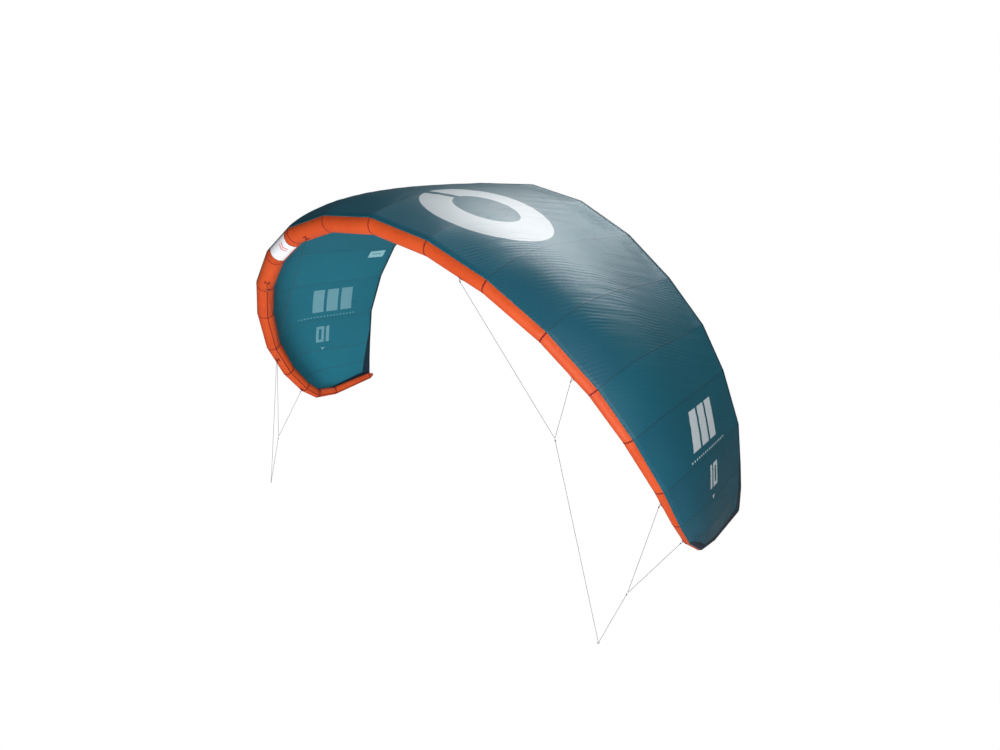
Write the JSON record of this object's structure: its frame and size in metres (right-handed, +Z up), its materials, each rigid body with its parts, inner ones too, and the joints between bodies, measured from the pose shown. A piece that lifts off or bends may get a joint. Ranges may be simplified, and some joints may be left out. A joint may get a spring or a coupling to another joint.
{
  "type": "kitesurf kite",
  "caption": "Inflatable leading-edge kitesurf kite: an arched fabric tube in straight segments carries a cambered canopy, with a forked front bridle on each wing.",
  "frame": {"origin": "middle of the leading-edge tube, at the centre seam", "axes": "+X along the span to the right wing tip, +Y from the leading edge back to the trailing edge, +Z up and away from the lines"},
  "size_m": [4.7728, 1.7671, 2.9629],
  "materials": {
    "tube_orange": "woven polyester, slight sheen",
    "canopy_teal": "ripstop cloth, satin coating",
    "bladder_clear": "soft film",
    "webbing_red": "woven webbing",
    "bridle_grey": "braided line",
    "valve_orange": "moulded, matt",
    "band_white": "smooth coated cloth"
  },
  "bodies": {
    "kite": {"le_segment_1_right": "tube_orange", "le_segment_2_right": "tube_orange", "le_segment_3_right": "tube_orange", "le_segment_4_right": "tube_orange", "le_segment_5_right": "tube_orange", "le_segment_6_right": "tube_orange", "le_segment_7_right": "tube_orange", "le_segment_8_right": "tube_orange", "le_segment_9_right": "tube_orange", "le_tip_tube_right": "tube_orange", "le_end_cap_right": "tube_orange", "canopy_panel_1_right": "canopy_teal", "canopy_panel_2_right": "canopy_teal", "canopy_panel_3_right": "canopy_teal", "canopy_panel_4_right": "canopy_teal", "canopy_panel_5_right": "canopy_teal", "canopy_panel_6_right": "canopy_teal", "canopy_panel_7_right": "canopy_teal", "canopy_panel_8_right": "canopy_teal", "bridle_tab_1_right": "webbing_red", "bridle_tab_2_right": "webbing_red", "bridle_tab_3_right": "webbing_red", "bridle_tab_4_right": "webbing_red", "le_segment_1_left": "tube_orange", "le_segment_2_left": "tube_orange", "le_segment_3_left": "tube_orange", "le_segment_4_left": "tube_orange", "le_segment_5_left": "tube_orange", "le_segment_6_left": "tube_orange", "le_segment_7_left": "tube_orange", "le_segment_8_left": "tube_orange", "le_segment_9_left": "tube_orange", "le_tip_tube_left": "tube_orange", "le_end_cap_left": "tube_orange", "canopy_panel_1_left": "canopy_teal", "canopy_panel_2_left": "canopy_teal", "canopy_panel_3_left": "canopy_teal", "canopy_panel_4_left": "canopy_teal", "canopy_panel_5_left": "canopy_teal", "canopy_panel_6_left": "canopy_teal", "canopy_panel_7_left": "canopy_teal", "canopy_panel_8_left": "canopy_teal", "bridle_tab_1_left": "webbing_red", "bridle_tab_2_left": "webbing_red", "bridle_tab_3_left": "webbing_red", "bridle_tab_4_left": "webbing_red", "bladder": "bladder_clear", "valve_base": "valve_orange", "label_band": "band_white"},
    "front_fan_right": {"bridle_front_fan_right": "bridle_grey"},
    "front_leader_right": {"bridle_front_leader_right": "bridle_grey"},
    "tip_fan_right": {"bridle_tip_fan_right": "bridle_grey"},
    "tip_leader_right": {"bridle_tip_leader_right": "bridle_grey", "front_line_loop_right": "webbing_red"},
    "front_fan_left": {"bridle_front_fan_left": "bridle_grey"},
    "front_leader_left": {"bridle_front_leader_left": "bridle_grey"},
    "tip_fan_left": {"bridle_tip_fan_left": "bridle_grey"},
    "tip_leader_left": {"bridle_tip_leader_left": "bridle_grey", "front_line_loop_left": "webbing_red"},
    "valve_cap": {"valve_cap": "valve_orange"}
  },
  "joints": [
    {"name": "front_fan_swing_right", "type": "hinge", "parent": "kite", "child": "front_fan_right", "pos_m": [0.8786, -0.0018, -0.2662], "axis": [0.8219, 0.1932, -0.5358], "range_deg": [-5, 5]},
    {"name": "front_leader_swing_right", "type": "hinge", "parent": "front_fan_right", "child": "front_leader_right", "pos_m": [1.621, 0.19, -1.295], "axis": [-0.2094, 0.9773, 0.0311], "range_deg": [-4, 4]},
    {"name": "tip_fan_swing_right", "type": "hinge", "parent": "kite", "child": "tip_fan_right", "pos_m": [2.2379, 0.5989, -1.7402], "axis": [0.0381, 0.5768, -0.816], "range_deg": [-9.5, 9.5]},
    {"name": "tip_leader_swing_right", "type": "hinge", "parent": "tip_fan_right", "child": "tip_leader_right", "pos_m": [2.096, 0.461, -2.424], "axis": [-0.953, 0.2666, 0.144], "range_deg": [-13, 13]},
    {"name": "front_fan_swing_left", "type": "hinge", "parent": "kite", "child": "front_fan_left", "pos_m": [-0.8786, -0.0018, -0.2662], "axis": [0.8219, -0.1932, 0.5358], "range_deg": [-5, 5]},
    {"name": "front_leader_swing_left", "type": "hinge", "parent": "front_fan_left", "child": "front_leader_left", "pos_m": [-1.621, 0.19, -1.295], "axis": [-0.2094, -0.9773, -0.0311], "range_deg": [-4, 4]},
    {"name": "tip_fan_swing_left", "type": "hinge", "parent": "kite", "child": "tip_fan_left", "pos_m": [-2.2379, 0.5989, -1.7402], "axis": [0.0381, -0.5768, 0.816], "range_deg": [-9.5, 9.5]},
    {"name": "tip_leader_swing_left", "type": "hinge", "parent": "tip_fan_left", "child": "tip_leader_left", "pos_m": [-2.096, 0.461, -2.424], "axis": [-0.953, -0.2666, -0.144], "range_deg": [-13, 13]},
    {"name": "valve_cap_hinge", "type": "hinge", "parent": "kite", "child": "valve_cap", "pos_m": [-1.8109, 0.2544, -0.9062], "axis": [-0.3674, -0.9281, 0.061], "range_deg": [0, 120]}
  ],
  "couplings": [
    {"joint": "front_leader_swing_right", "follows": "front_fan_swing_right", "ratio": 0.684},
    {"joint": "tip_fan_swing_right", "follows": "front_fan_swing_right", "ratio": 1.7373},
    {"joint": "tip_leader_swing_right", "follows": "front_fan_swing_right", "ratio": -2.3318},
    {"joint": "front_leader_swing_left", "follows": "front_fan_swing_left", "ratio": 0.684},
    {"joint": "tip_fan_swing_left", "follows": "front_fan_swing_left", "ratio": 1.7373},
    {"joint": "tip_leader_swing_left", "follows": "front_fan_swing_left", "ratio": -2.3318}
  ]
}
